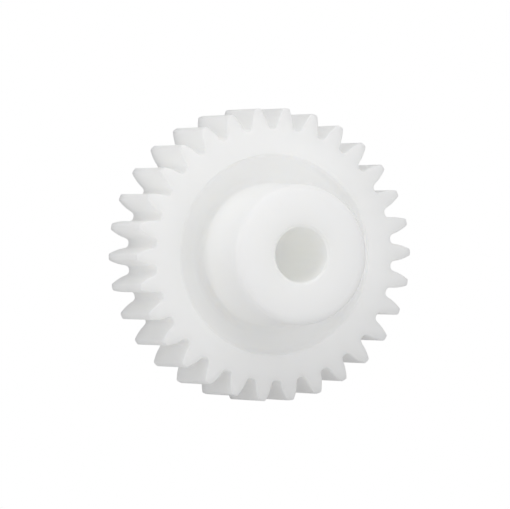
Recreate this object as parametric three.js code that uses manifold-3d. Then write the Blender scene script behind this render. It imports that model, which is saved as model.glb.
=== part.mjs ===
// A moulded plastic spur gear with a hub on one side. Millimetres, +Z along the bore axis towards the
// hub's nose. The origin is the centre of the bore at the back face, and one tooth is centred on +X.

import * as THREE from "three";
import { mergeVertices } from "three/addons/utils/BufferGeometryUtils.js";
import Module from "manifold-3d";

// Teeth: standard full-depth proportions, with the rack's measures given for module 1.
const MODULE = 1;
const TEETH = 30;
const PRESSURE_ANGLE = THREE.MathUtils.degToRad(20);
const ADDENDUM = 1.0 * MODULE;
const DEDENDUM = 1.25 * MODULE;
const RACK_TIP_RADIUS = 0.38 * MODULE; // rolls the fillet at each tooth's root
const BACKLASH = 0.1; // a gear pair's play at the pitch circle, half of it taken from each gear's teeth
const TIP_EASE = 0.12; // moulded tooth tips have no sharp corner

// Body
const FACE_WIDTH = 9;
const LENGTH = 17;
const BORE_DIAMETER = 6;
const BORE_CHAMFER = 0.45;
const RIM_INNER_DIAMETER = 21.9;
const RECESS_DEPTH_AT_RIM = 1.2; // the web is sunk on the hub's side, and dished towards the hub
const RECESS_DEPTH_AT_HUB = 2.3;
const BACK_RECESS_DEPTH = 1.5; // on the back it is sunk and flat
const RECESS_DRAFT = 0.2; // the recess walls lean by this much over their depth
const HUB_DIAMETER_AT_WEB = 15.5;
const HUB_DIAMETER_AT_NOSE = 15.2; // the hub tapers, so that it leaves its mould
const BACK_HUB_DIAMETER = 15.5;
const NOSE_ROUNDING = 0.8;
const EDGE_ROUNDING = 0.15;
const INSIDE_ROUNDING = 0.4;
const HUB_FOOT_ROUNDING = 1.1;

// Fineness of the curves
const TURN_STEPS = 3 * TEETH;
const CORNER_STEPS = 3;
const FILLET_STEPS = 4;
const INVOLUTE_STEPS = 5;

const pitchRadius = (MODULE * TEETH) / 2;
const baseRadius = pitchRadius * Math.cos(PRESSURE_ANGLE);
const tipRadius = pitchRadius + ADDENDUM;
const pitchAngle = (2 * Math.PI) / TEETH;

const involute = (angle) => Math.tan(angle) - angle;

// Half of a tooth's thickness at a radius, as an angle at the gear's centre.
function halfThickness(radius) {
  const atPitch = (Math.PI * MODULE - BACKLASH) / 4 / pitchRadius;
  return atPitch + involute(PRESSURE_ANGLE) - involute(Math.acos(baseRadius / radius));
}

// One flank, from the root of the gap beside the tooth to the tip. Each point is polar: its radius, and
// its angle from the tooth's centre line. The fillet is the path that a rack's rounded tip leaves as it
// rolls on the pitch circle, and the involute carries on from where it ends.
function flankPoints() {
  const tipDepth = DEDENDUM - RACK_TIP_RADIUS;
  const rackTipHalfWidth =
    (Math.PI * MODULE + BACKLASH) / 4 -
    DEDENDUM * Math.tan(PRESSURE_ANGLE) -
    (RACK_TIP_RADIUS * (1 - Math.sin(PRESSURE_ANGLE))) / Math.cos(PRESSURE_ANGLE);
  const points = [];
  for (let i = 0; i <= FILLET_STEPS; i++) {
    const normal = THREE.MathUtils.lerp(Math.PI / 2, PRESSURE_ANGLE, i / FILLET_STEPS);
    const roll = tipDepth / Math.tan(normal);
    const reach = 1 + RACK_TIP_RADIUS / Math.hypot(roll, tipDepth);
    const x = roll * reach;
    const y = pitchRadius - tipDepth * reach;
    const fromGapMiddle = Math.atan2(x, y) + (rackTipHalfWidth - roll) / pitchRadius;
    points.push([Math.hypot(x, y), pitchAngle / 2 - fromGapMiddle]);
  }
  const involuteStart = points.at(-1)[0];
  for (let i = 1; i <= INVOLUTE_STEPS; i++) {
    const radius = THREE.MathUtils.lerp(involuteStart, tipRadius - TIP_EASE, i / INVOLUTE_STEPS);
    points.push([radius, halfThickness(radius)]);
  }
  points.push([tipRadius, halfThickness(tipRadius) - TIP_EASE / tipRadius]);
  return points;
}

// The gear's toothed outline, extruded well past both ends of the body.
function toothPrism() {
  const flank = flankPoints();
  const outline = [];
  for (let tooth = 0; tooth < TEETH; tooth++) {
    const centre = tooth * pitchAngle;
    const rising = flank.map(([radius, angle]) => [radius, centre - angle]);
    const falling = flank.map(([radius, angle]) => [radius, centre + angle]).reverse();
    for (const [radius, angle] of [...rising, ...falling])
      outline.push(new THREE.Vector2(radius * Math.cos(angle), radius * Math.sin(angle)));
  }
  const past = 1;
  const geometry = new THREE.ExtrudeGeometry(new THREE.Shape(outline), {
    depth: LENGTH + 2 * past,
    bevelEnabled: false,
  });
  return geometry.translate(0, 0, -past);
}

// A closed path through corners, each given as [x, y, rounding]; a corner with no rounding is sharp.
function roundedPath(corners) {
  const points = corners.map(([x, y]) => new THREE.Vector2(x, y));
  const path = [];
  corners.forEach(([, , rounding], i) => {
    const corner = points[i];
    if (!rounding) {
      path.push(corner);
      return;
    }
    const before = points[(i + points.length - 1) % points.length];
    const after = points[(i + 1) % points.length];
    const from = corner.clone().add(before.clone().sub(corner).setLength(rounding));
    const to = corner.clone().add(after.clone().sub(corner).setLength(rounding));
    path.push(...new THREE.QuadraticBezierCurve(from, corner, to).getPoints(CORNER_STEPS));
  });
  return [...path, path[0].clone()];
}

// The body turned about the bore axis: rim, recessed web, hub and bore. Each corner of its section is
// a distance from the axis and a height over the back face.
function turnedBody() {
  const blank = tipRadius + 1;
  const rim = RIM_INNER_DIAMETER / 2;
  const bore = BORE_DIAMETER / 2;
  const backHub = BACK_HUB_DIAMETER / 2;
  const recessFoot = rim - RECESS_DRAFT;
  const section = roundedPath([
    [blank, 0],
    [blank, FACE_WIDTH],
    [rim, FACE_WIDTH, EDGE_ROUNDING],
    [recessFoot, FACE_WIDTH - RECESS_DEPTH_AT_RIM, INSIDE_ROUNDING],
    [HUB_DIAMETER_AT_WEB / 2, FACE_WIDTH - RECESS_DEPTH_AT_HUB, HUB_FOOT_ROUNDING],
    [HUB_DIAMETER_AT_NOSE / 2, LENGTH, NOSE_ROUNDING],
    [bore + BORE_CHAMFER, LENGTH],
    [bore, LENGTH - BORE_CHAMFER],
    [bore, BORE_CHAMFER],
    [bore + BORE_CHAMFER, 0],
    [backHub, 0, EDGE_ROUNDING],
    [backHub + RECESS_DRAFT, BACK_RECESS_DEPTH, INSIDE_ROUNDING],
    [recessFoot, BACK_RECESS_DEPTH, INSIDE_ROUNDING],
    [rim, 0, EDGE_ROUNDING],
  ]);
  return new THREE.LatheGeometry(section, TURN_STEPS).rotateX(Math.PI / 2);
}

const wasm = await Module();
wasm.setup();

// A closed geometry as a manifold-3d solid.
function toSolid(geometry) {
  geometry.deleteAttribute("normal");
  geometry.deleteAttribute("uv");
  const merged = mergeVertices(geometry);
  const vertProperties = merged.attributes.position.array;
  const triVerts = new Uint32Array(merged.index.array);
  return new wasm.Manifold(new wasm.Mesh({ numProp: 3, vertProperties, triVerts }));
}

// A manifold-3d solid as a geometry.
function toGeometry(solid) {
  const { vertProperties, triVerts } = solid.getMesh();
  return new THREE.BufferGeometry()
    .setAttribute("position", new THREE.BufferAttribute(vertProperties, 3))
    .setIndex(new THREE.BufferAttribute(triVerts, 1));
}

// The whole gear is one moulding, so it is one mesh. The hub lies inside the root circle, so the
// toothed prism trims the blank's rim only.
function spurGear() {
  const acetal = new THREE.MeshStandardMaterial({ color: 0xf0f0ed, roughness: 0.45, metalness: 0 });
  const mesh = new THREE.Mesh(toGeometry(toSolid(turnedBody()).intersect(toSolid(toothPrism()))), acetal);
  mesh.name = "spur_gear";
  return mesh;
}

const gear = new THREE.Group();
gear.add(spurGear());

export default gear;
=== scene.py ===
"""A moulded acetal spur gear: the toothed rim, recessed web, hub and bore as one finely meshed piece,
lying on its back face on a pale floor under soft studio light."""

import math

import bpy
import numpy as np
from mathutils import Matrix, Vector


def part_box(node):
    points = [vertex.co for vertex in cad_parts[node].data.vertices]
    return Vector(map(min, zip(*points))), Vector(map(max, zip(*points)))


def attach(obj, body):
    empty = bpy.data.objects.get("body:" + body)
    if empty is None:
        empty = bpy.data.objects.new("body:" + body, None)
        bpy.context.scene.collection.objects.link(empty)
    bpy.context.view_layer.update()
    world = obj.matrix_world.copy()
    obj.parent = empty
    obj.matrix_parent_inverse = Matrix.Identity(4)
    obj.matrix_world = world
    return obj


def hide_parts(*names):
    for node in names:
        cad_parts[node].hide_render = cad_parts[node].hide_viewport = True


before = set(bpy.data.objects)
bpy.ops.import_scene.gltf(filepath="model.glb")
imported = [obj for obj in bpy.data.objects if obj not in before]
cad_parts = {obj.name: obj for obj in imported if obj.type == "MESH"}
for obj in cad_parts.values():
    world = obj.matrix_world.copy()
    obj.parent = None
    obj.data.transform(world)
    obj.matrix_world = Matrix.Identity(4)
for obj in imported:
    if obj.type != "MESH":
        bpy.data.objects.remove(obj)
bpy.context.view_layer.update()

MM = 0.001
NODE = "spur_gear"

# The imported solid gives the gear's main sizes, and the tooth system gives the rest of the teeth.
low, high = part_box(NODE)
TEETH = 30
LENGTH = high.z - low.z
TIP_RADIUS = (high.x - low.x) / 2
MODULE = 2 * TIP_RADIUS / (TEETH + 2)
PITCH_RADIUS = MODULE * TEETH / 2
PITCH_ANGLE = 2 * math.pi / TEETH
PRESSURE_ANGLE = math.radians(20)
DEDENDUM = 1.25 * MODULE
ROOT_RADIUS = PITCH_RADIUS - DEDENDUM
RACK_TIP_RADIUS = 0.38 * MODULE
BACKLASH = 0.1 * MM
TIP_ROUNDING = 0.16 * MM
FACE_EDGE_ROUNDING = 0.14 * MM

# The turned body: the rim's two faces are at 0 and FACE_WIDTH, and the hub's nose is at LENGTH.
FACE_WIDTH = 9 * MM
BORE_RADIUS = 3 * MM
BORE_CHAMFER = 0.25 * MM
RECESS_RADIUS = 10.95 * MM
RECESS_DEPTH_AT_RIM = 1.2 * MM
RECESS_DEPTH_AT_HUB = 2.3 * MM
BACK_RECESS_DEPTH = 1.5 * MM
RECESS_DRAFT = 0.2 * MM
HUB_RADIUS_AT_WEB = 7.75 * MM
HUB_RADIUS_AT_NOSE = 7.6 * MM
BACK_HUB_RADIUS = 7.75 * MM
NOSE_ROUNDING = 0.7 * MM
EDGE_ROUNDING = 0.18 * MM
INSIDE_ROUNDING = 0.5 * MM
HUB_FOOT_ROUNDING = 1.1 * MM
CHAMFER_EDGE_ROUNDING = 0.05 * MM

# How finely the mesh is cut. An edge loop close to a rounding keeps the rounding's shading out of the
# flat beside it. The loops round the rim's faces follow the teeth first, and are circles from
# RIM_FACE_RADIUS inwards.
FILLET_STEPS = 5
FLANK_STEPS = 4
TIP_STEPS = 3
FACE_EDGE_STEPS = 4
SECTION_CORNER_STEPS = 4
TOOTH_LENGTH_STEPS = 4
LONGEST_SECTION_CUT = 2.6 * MM
LOOP_BESIDE_CORNER = 0.06 * MM
LOOP_BESIDE_FACE_EDGE = 0.05 * MM
FACE_LOOP_INSET = 1.25 * FACE_EDGE_ROUNDING
TOOTH_LOOPS_START = 1 * MM
RIM_FACE_RADIUS = ROOT_RADIUS - 0.4 * MM

# The acetal's own colour runs between two whites as faint clouds. Blender's noise seldom leaves the
# range from NOISE_LOW to NOISE_HIGH.
CLOUDY_WHITE = (0.981, 0.984, 0.969)
CLEAR_WHITE = (0.991, 0.991, 0.98)
SCATTER_LENGTH = 8 * MM
NOISE_LOW = 0.3
NOISE_HIGH = 0.7

# The light that the studio throws on the gear. The floor's glow is dimmer on one side, towards the bottom
# of the picture and a little to its right, as a painted shadow of the gear, and brightest under the bore,
# as a painted pool of light that lights the bore.
WORLD_GLOW = 0.6
FLOOR_GLOW = 0.455
GLOW_IN_PAINTED_SHADOW = 0.291
PAINTED_SHADOW_AZIMUTH = 298
PAINTED_SHADOW_FULL_WITHIN = math.radians(30)
PAINTED_SHADOW_ENDS_AT = math.radians(60)
PAINTED_LIGHT_UNDER_BORE = 0.64
PAINTED_LIGHT_EDGE_WIDTH = 1 * MM
FLOOR_HALF_WIDTH = 1000 * MM
FLOOR_GAP = 0.03 * MM
SOFTBOX_WIDTH = 100 * MM
NEAR = 200 * MM
FAR = 300 * MM
BOUNCES = 32

# The camera, with its angles in degrees and its lens and sensor in millimetres.
CAMERA_AIM_HEIGHT = 3.1 * MM
CAMERA_DISTANCE = 748.7 * MM
CAMERA_AZIMUTH = 178.8
CAMERA_ELEVATION = 68.65
PICTURE_TOP_AZIMUTH = 89.07
CAMERA_LENS = 481.7
CAMERA_SENSOR_WIDTH = 36
CAMERA_CLIP_START = 50 * MM


# ---------------------------------------------------------------- directions and corners

def towards(azimuth, elevation):
    """A unit vector at an azimuth from +X towards +Y and an elevation, both in degrees."""
    turn = math.radians(azimuth)
    rise = math.radians(elevation)
    return Vector((math.cos(rise) * math.cos(turn), math.cos(rise) * math.sin(turn), math.sin(rise)))


def curve(start, corner, end, steps):
    """A round corner: a quadratic curve from start to end that leaves and arrives along the two sides."""
    return [
        (1 - t) ** 2 * start + 2 * t * (1 - t) * corner + t ** 2 * end
        for t in np.linspace(0, 1, steps + 1)
    ]


# ---------------------------------------------------------------- the teeth

def involute(angle):
    return math.tan(angle) - angle


def half_thickness(radius):
    """Half of a tooth's thickness at a radius, as an angle at the gear's centre."""
    base_radius = PITCH_RADIUS * math.cos(PRESSURE_ANGLE)
    at_pitch = (math.pi * MODULE - BACKLASH) / 4 / PITCH_RADIUS
    return at_pitch + involute(PRESSURE_ANGLE) - involute(math.acos(base_radius / radius))


def fillet_points():
    """The root fillet as (radius, angle from the gap's middle): the path that a rack's rounded tooth tip
    leaves as it rolls on the pitch circle."""
    tip_depth = DEDENDUM - RACK_TIP_RADIUS
    rack_tip_half_width = (
        (math.pi * MODULE + BACKLASH) / 4
        - DEDENDUM * math.tan(PRESSURE_ANGLE)
        - RACK_TIP_RADIUS * (1 - math.sin(PRESSURE_ANGLE)) / math.cos(PRESSURE_ANGLE)
    )
    points = []
    for normal in np.linspace(math.pi / 2, PRESSURE_ANGLE, FILLET_STEPS + 1):
        roll = tip_depth / math.tan(normal)
        reach = 1 + RACK_TIP_RADIUS / math.hypot(roll, tip_depth)
        x = roll * reach
        y = PITCH_RADIUS - tip_depth * reach
        points.append((math.hypot(x, y), math.atan2(x, y) + (rack_tip_half_width - roll) / PITCH_RADIUS))
    return points


def flank_points():
    """Half a gap and half a tooth, from the gap's middle to the tooth's middle, as points in a frame
    where the tooth's centre line is +X."""
    fillet = fillet_points()
    polar = [(ROOT_RADIUS, -PITCH_ANGLE / 2)]
    polar += [(radius, angle - PITCH_ANGLE / 2) for radius, angle in fillet]
    flank_end = TIP_RADIUS - TIP_ROUNDING
    for radius in np.linspace(fillet[-1][0], flank_end, FLANK_STEPS + 1)[1:]:
        polar.append((radius, -half_thickness(radius)))
    points = [radius * np.array([math.cos(angle), math.sin(angle)]) for radius, angle in polar]
    corner_angle = -half_thickness(TIP_RADIUS)
    corner = TIP_RADIUS * np.array([math.cos(corner_angle), math.sin(corner_angle)])
    land_angle = corner_angle + TIP_ROUNDING / TIP_RADIUS
    land = TIP_RADIUS * np.array([math.cos(land_angle), math.sin(land_angle)])
    points += curve(points[-1], corner, land, TIP_STEPS)[1:]
    points.append(np.array([TIP_RADIUS, 0.0]))
    return points


def gear_outline():
    """The toothed outline as an array of points, anticlockwise, with the first tooth centred on +X."""
    rising = flank_points()
    falling = [np.array([x, -y]) for x, y in reversed(rising[1:-1])]
    tooth = np.array(rising + falling)
    turns = [Matrix.Rotation(i * PITCH_ANGLE, 2) for i in range(TEETH)]
    return np.concatenate([tooth @ np.array(turn).T for turn in turns])


def inset(outline, distance):
    """The outline moved inwards by a small distance, with the move at sharp corners held back."""
    least_cosine = 0.6
    before = outline - np.roll(outline, 1, axis=0)
    after = np.roll(outline, -1, axis=0) - outline
    normals = [np.stack([-side[:, 1], side[:, 0]], 1) for side in (before, after)]
    normals = [normal / np.linalg.norm(normal, axis=1, keepdims=True) for normal in normals]
    mean = normals[0] + normals[1]
    mean /= np.linalg.norm(mean, axis=1, keepdims=True)
    cosine = np.maximum((mean * normals[0]).sum(1, keepdims=True), least_cosine)
    return outline + mean * distance / cosine


# ---------------------------------------------------------------- the turned body

def cut_straight(start, end):
    """Points between start and end: one close to each end, and the rest in equal lengths that are no
    longer than the longest cut. A very short side gets none."""
    side = end - start
    length = np.linalg.norm(side)
    if length < 3 * LOOP_BESIDE_CORNER:
        return []
    pieces = max(1, math.ceil((length - 2 * LOOP_BESIDE_CORNER) / LONGEST_SECTION_CUT))
    distances = np.linspace(LOOP_BESIDE_CORNER, length - LOOP_BESIDE_CORNER, pieces + 1)
    return [start + side / length * distance for distance in distances]


def rounded_section(corners):
    """A path through corners given as (radius, height, rounding)."""
    points = [np.array(corner[:2]) for corner in corners]
    path = [points[0]]
    for i in range(1, len(corners)):
        rounding = corners[i][2]
        arc = [points[i]]
        if rounding:
            back = points[i - 1] - points[i]
            ahead = points[i + 1] - points[i]
            start = points[i] + back / np.linalg.norm(back) * rounding
            end = points[i] + ahead / np.linalg.norm(ahead) * rounding
            arc = curve(start, points[i], end, SECTION_CORNER_STEPS)
        path += cut_straight(path[-1], arc[0])
        path += arc
    return path


def body_section():
    """From the front of the rim in over the recess and the hub, down the bore and out over the back."""
    recess_foot = RECESS_RADIUS - RECESS_DRAFT
    chamfer_radius = BORE_RADIUS + BORE_CHAMFER
    return rounded_section([
        (RIM_FACE_RADIUS, FACE_WIDTH, 0),
        (RECESS_RADIUS, FACE_WIDTH, EDGE_ROUNDING),
        (recess_foot, FACE_WIDTH - RECESS_DEPTH_AT_RIM, INSIDE_ROUNDING),
        (HUB_RADIUS_AT_WEB, FACE_WIDTH - RECESS_DEPTH_AT_HUB, HUB_FOOT_ROUNDING),
        (HUB_RADIUS_AT_NOSE, LENGTH, NOSE_ROUNDING),
        (chamfer_radius, LENGTH, CHAMFER_EDGE_ROUNDING),
        (BORE_RADIUS, LENGTH - BORE_CHAMFER, CHAMFER_EDGE_ROUNDING),
        (BORE_RADIUS, BORE_CHAMFER, CHAMFER_EDGE_ROUNDING),
        (chamfer_radius, 0, CHAMFER_EDGE_ROUNDING),
        (BACK_HUB_RADIUS, 0, EDGE_ROUNDING),
        (BACK_HUB_RADIUS + RECESS_DRAFT, BACK_RECESS_DEPTH, INSIDE_ROUNDING),
        (recess_foot, BACK_RECESS_DEPTH, INSIDE_ROUNDING),
        (RECESS_RADIUS, 0, EDGE_ROUNDING),
        (RIM_FACE_RADIUS, 0, 0),
    ])


# ---------------------------------------------------------------- the mesh

def ring(points, height):
    """Points in a plane as a 3-column array at a height."""
    return np.column_stack([points, np.full(len(points), height)])


def gear_rings():
    """Closed rings of equally many points, each a 3-column array, from the back edge of the teeth up
    their flanks, in over the front, through the bore and out over the back."""
    outline = gear_outline()
    angles = np.arctan2(outline[:, 1], outline[:, 0])
    unit_circle = np.stack([np.cos(angles), np.sin(angles)], 1)
    quarter_turn = np.linspace(0, math.pi / 2, FACE_EDGE_STEPS + 1)
    rounded_edge = [
        (FACE_EDGE_ROUNDING * (1 - math.cos(turn)), FACE_EDGE_ROUNDING * (1 - math.sin(turn)))
        for turn in quarter_turn
    ]
    lowest_loop = FACE_EDGE_ROUNDING + LOOP_BESIDE_FACE_EDGE
    middle_loops = np.linspace(TOOTH_LOOPS_START, FACE_WIDTH - TOOTH_LOOPS_START, TOOTH_LENGTH_STEPS + 1)
    face_loop = inset(outline, FACE_LOOP_INSET)

    rings = [ring(inset(outline, inwards), depth) for inwards, depth in reversed(rounded_edge)]
    rings += [ring(outline, height) for height in (lowest_loop, *middle_loops, FACE_WIDTH - lowest_loop)]
    rings += [ring(inset(outline, inwards), FACE_WIDTH - depth) for inwards, depth in rounded_edge]
    rings.append(ring(face_loop, FACE_WIDTH))
    rings += [ring(unit_circle * radius, height) for radius, height in body_section()]
    rings.append(ring(face_loop, 0))
    return rings


def ring_mesh(name, rings):
    """A closed mesh from rings of equally many points, the last joined to the first."""
    count = len(rings[0])
    here = np.arange(count)
    following = np.roll(here, -1)
    faces = []
    for i in range(len(rings)):
        lower = i * count
        upper = (i + 1) % len(rings) * count
        faces.append(np.stack([lower + here, lower + following, upper + following, upper + here], 1))
    mesh = bpy.data.meshes.new(name)
    mesh.from_pydata(np.concatenate(rings).tolist(), [], np.concatenate(faces).tolist())
    mesh.shade_smooth()
    return mesh


# ---------------------------------------------------------------- materials

class Nodes:
    """A short way to write a material's node tree."""

    def __init__(self, name):
        self.material = bpy.data.materials.new(name)
        self.material.use_nodes = True
        self.tree = self.material.node_tree
        self.shader = self.tree.nodes["Principled BSDF"]

    def add(self, kind, **values):
        node = self.tree.nodes.new(kind)
        for key, value in values.items():
            setattr(node, key, value)
        return node

    def link(self, output, socket):
        self.tree.links.new(output, socket)

    def place(self):
        """Where a point is on the object, in metres."""
        return self.add("ShaderNodeTexCoord").outputs["Object"]

    def noise(self, coordinates, scale, detail):
        node = self.add("ShaderNodeTexNoise")
        node.inputs["Scale"].default_value = scale
        node.inputs["Detail"].default_value = detail
        self.link(coordinates, node.inputs["Vector"])
        return node.outputs["Fac"]

    def spread(self, noise, start, end):
        """A noise's middle range stretched over start to end."""
        node = self.add("ShaderNodeMapRange")
        node.inputs["From Min"].default_value = NOISE_LOW
        node.inputs["From Max"].default_value = NOISE_HIGH
        node.inputs["To Min"].default_value = start
        node.inputs["To Max"].default_value = end
        self.link(noise, node.inputs["Value"])
        return node.outputs["Result"]

    def ease(self, value, first, last):
        """A node that turns smoothly, as value goes from first to last, from its To Min to its To Max."""
        node = self.add("ShaderNodeMapRange", interpolation_type="SMOOTHSTEP")
        node.inputs["From Min"].default_value = first
        node.inputs["From Max"].default_value = last
        self.link(value, node.inputs["Value"])
        return node

    def vector_math(self, operation, vector):
        node = self.add("ShaderNodeVectorMath", operation=operation)
        self.link(vector, node.inputs[0])
        return node

    def mix(self, factor, first, second):
        node = self.add("ShaderNodeMix", data_type="RGBA")
        node.inputs["A"].default_value = (*first, 1)
        node.inputs["B"].default_value = (*second, 1)
        self.link(factor, node.inputs["Factor"])
        return node.outputs["Result"]

    def bump(self, height, strength, distance, under=None):
        node = self.add("ShaderNodeBump")
        node.inputs["Strength"].default_value = strength
        node.inputs["Distance"].default_value = distance
        self.link(height, node.inputs["Height"])
        if under:
            self.link(under, node.inputs["Normal"])
        return node.outputs["Normal"]


def acetal():
    """Natural white acetal as it comes from the mould: cloudy, satin, and lit through from behind."""
    nodes = Nodes("natural_acetal")
    shader = nodes.shader
    place = nodes.place()
    cloud = nodes.noise(place, scale=160, detail=3)
    grain = nodes.noise(place, scale=5200, detail=2)
    satin = nodes.noise(place, scale=420, detail=4)
    shader.inputs["Subsurface Weight"].default_value = 1.0
    shader.inputs["Subsurface Radius"].default_value = (1.0, 0.97, 0.92)
    shader.inputs["Subsurface Scale"].default_value = SCATTER_LENGTH
    shader.inputs["IOR"].default_value = 1.48
    colour = nodes.mix(nodes.spread(cloud, start=0, end=1), CLOUDY_WHITE, CLEAR_WHITE)
    nodes.link(colour, shader.inputs["Base Color"])
    nodes.link(nodes.spread(satin, start=0.38, end=0.5), shader.inputs["Roughness"])
    waves = nodes.bump(cloud, strength=0.25, distance=0.05 * MM)
    surface = nodes.bump(grain, strength=0.3, distance=0.004 * MM, under=waves)
    nodes.link(surface, shader.inputs["Normal"])
    return nodes.material


def seen_white(tree, shaded, white_kind):
    """A pale, evenly lit studio: whatever the camera sees directly is plain white, and the gear gets the
    light of a surface that is shaded as given. white_kind is the kind of node that makes the white."""
    ray = tree.nodes.new("ShaderNodeLightPath")
    white = tree.nodes.new(white_kind)
    white.inputs["Color"].default_value = (1, 1, 1, 1)
    mix = tree.nodes.new("ShaderNodeMixShader")
    tree.links.new(ray.outputs["Is Camera Ray"], mix.inputs[0])
    tree.links.new(shaded, mix.inputs[1])
    tree.links.new(white.outputs[0], mix.inputs[2])
    return mix.outputs[0]


def pale_board():
    """Pale matte board that reads as white and glows softly onto the gear's flanks and into its bore."""
    nodes = Nodes("pale_board")
    shader = nodes.shader
    shader.inputs["Base Color"].default_value = (0.1, 0.1, 0.1, 1)
    shader.inputs["Roughness"].default_value = 0.9
    shader.inputs["Specular IOR Level"].default_value = 0.0
    shader.inputs["Emission Color"].default_value = (1, 1, 1, 1)

    # Painted shadow: the glow drops in a wedge on the side away from the key light, where the gear's
    # shadow falls.
    place = nodes.place()
    heading = nodes.vector_math("NORMALIZE", place).outputs["Vector"]
    facing = nodes.vector_math("DOT_PRODUCT", heading)
    facing.inputs[1].default_value = towards(PAINTED_SHADOW_AZIMUTH, 0)
    glow_with_painted_shadow = nodes.ease(
        facing.outputs["Value"],
        math.cos(PAINTED_SHADOW_ENDS_AT),
        math.cos(PAINTED_SHADOW_FULL_WITHIN),
    )
    glow_with_painted_shadow.inputs["To Min"].default_value = FLOOR_GLOW
    glow_with_painted_shadow.inputs["To Max"].default_value = GLOW_IN_PAINTED_SHADOW

    # Painted light: a brighter disc of glow under the bore, with a soft edge, lights the bore from below.
    distance = nodes.vector_math("LENGTH", place).outputs["Value"]
    glow = nodes.ease(distance, BORE_RADIUS, BORE_RADIUS + PAINTED_LIGHT_EDGE_WIDTH)
    glow.inputs["To Min"].default_value = PAINTED_LIGHT_UNDER_BORE
    nodes.link(glow_with_painted_shadow.outputs["Result"], glow.inputs["To Max"])
    nodes.link(glow.outputs["Result"], shader.inputs["Emission Strength"])

    output = nodes.tree.nodes["Material Output"]
    nodes.link(seen_white(nodes.tree, shader.outputs[0], "ShaderNodeEmission"), output.inputs["Surface"])
    return nodes.material


# ---------------------------------------------------------------- the scene

def add_object(name, data):
    made = bpy.data.objects.new(name, data)
    bpy.context.scene.collection.objects.link(made)
    return made


def make_gear():
    gear = add_object("moulded_gear", ring_mesh("moulded_gear", gear_rings()))
    gear.data.materials.append(acetal())
    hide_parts(NODE)
    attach(gear, "root")


def make_floor():
    half = FLOOR_HALF_WIDTH
    mesh = bpy.data.meshes.new("floor")
    corners = [(-half, -half, 0), (half, -half, 0), (half, half, 0), (-half, half, 0)]
    mesh.from_pydata(corners, [], [(0, 1, 2, 3)])
    mesh.materials.append(pale_board())
    floor = add_object("floor", mesh)
    floor.location.z = low.z - FLOOR_GAP


def make_camera():
    """A long lens that looks down on the hub, tilted off the bore axis towards the gear's -X side, with
    the top of the picture towards +Y."""
    aim = Vector((0, 0, CAMERA_AIM_HEIGHT))
    direction = towards(CAMERA_AZIMUTH, CAMERA_ELEVATION)
    right = towards(PICTURE_TOP_AZIMUTH, 0).cross(direction).normalized()
    up = direction.cross(right)
    camera = bpy.data.cameras.new("camera")
    camera.sensor_width = CAMERA_SENSOR_WIDTH
    camera.lens = CAMERA_LENS
    camera.clip_start = CAMERA_CLIP_START
    holder = add_object("camera", camera)
    turn = Matrix((right, up, direction)).transposed().to_4x4()
    holder.matrix_world = Matrix.Translation(aim + direction * CAMERA_DISTANCE) @ turn
    bpy.context.scene.camera = holder


def make_light(name, azimuth, elevation, distance, watts):
    """A round softbox that faces the gear."""
    light = bpy.data.lights.new(name, "AREA")
    light.shape = "DISK"
    light.size = SOFTBOX_WIDTH
    light.energy = watts
    holder = add_object(name, light)
    centre = Vector((0, 0, LENGTH / 2))
    direction = towards(azimuth, elevation)
    holder.location = centre + direction * distance
    holder.rotation_euler = direction.to_track_quat("Z", "Y").to_euler()


def make_lights():
    """The key light is four softboxes towards the top of the picture. The rest fill from the left and
    the right."""
    make_light("key_low", azimuth=98, elevation=12, distance=NEAR, watts=0.0186)
    make_light("key_middle", azimuth=106, elevation=30, distance=NEAR, watts=0.0256)
    make_light("key_high", azimuth=88, elevation=50, distance=NEAR, watts=0.0255)
    make_light("key_left", azimuth=120, elevation=20, distance=FAR, watts=0.079)
    make_light("left_low", azimuth=180, elevation=12, distance=FAR, watts=0.113)
    make_light("right_front", azimuth=315, elevation=50, distance=FAR, watts=0.0406)
    make_light("right_high", azimuth=0, elevation=60, distance=FAR, watts=0.0441)
    make_light("right_back", azimuth=45, elevation=60, distance=FAR, watts=0.038)


def make_world():
    """A pale room with even light."""
    world = bpy.data.worlds.new("studio")
    world.use_nodes = True
    tree = world.node_tree
    background = tree.nodes["Background"]
    background.inputs["Color"].default_value = (1, 1, 1, 1)
    background.inputs["Strength"].default_value = WORLD_GLOW
    room = seen_white(tree, background.outputs[0], "ShaderNodeBackground")
    tree.links.new(room, tree.nodes["World Output"].inputs[0])
    bpy.context.scene.world = world


def set_light_paths():
    """Light bounces often enough to fill the white bore, and its colours are shown as they are."""
    cycles = bpy.context.scene.cycles
    cycles.max_bounces = BOUNCES
    cycles.diffuse_bounces = BOUNCES
    bpy.context.scene.view_settings.view_transform = "Standard"


make_gear()
make_floor()
make_camera()
make_world()
make_lights()
set_light_paths()
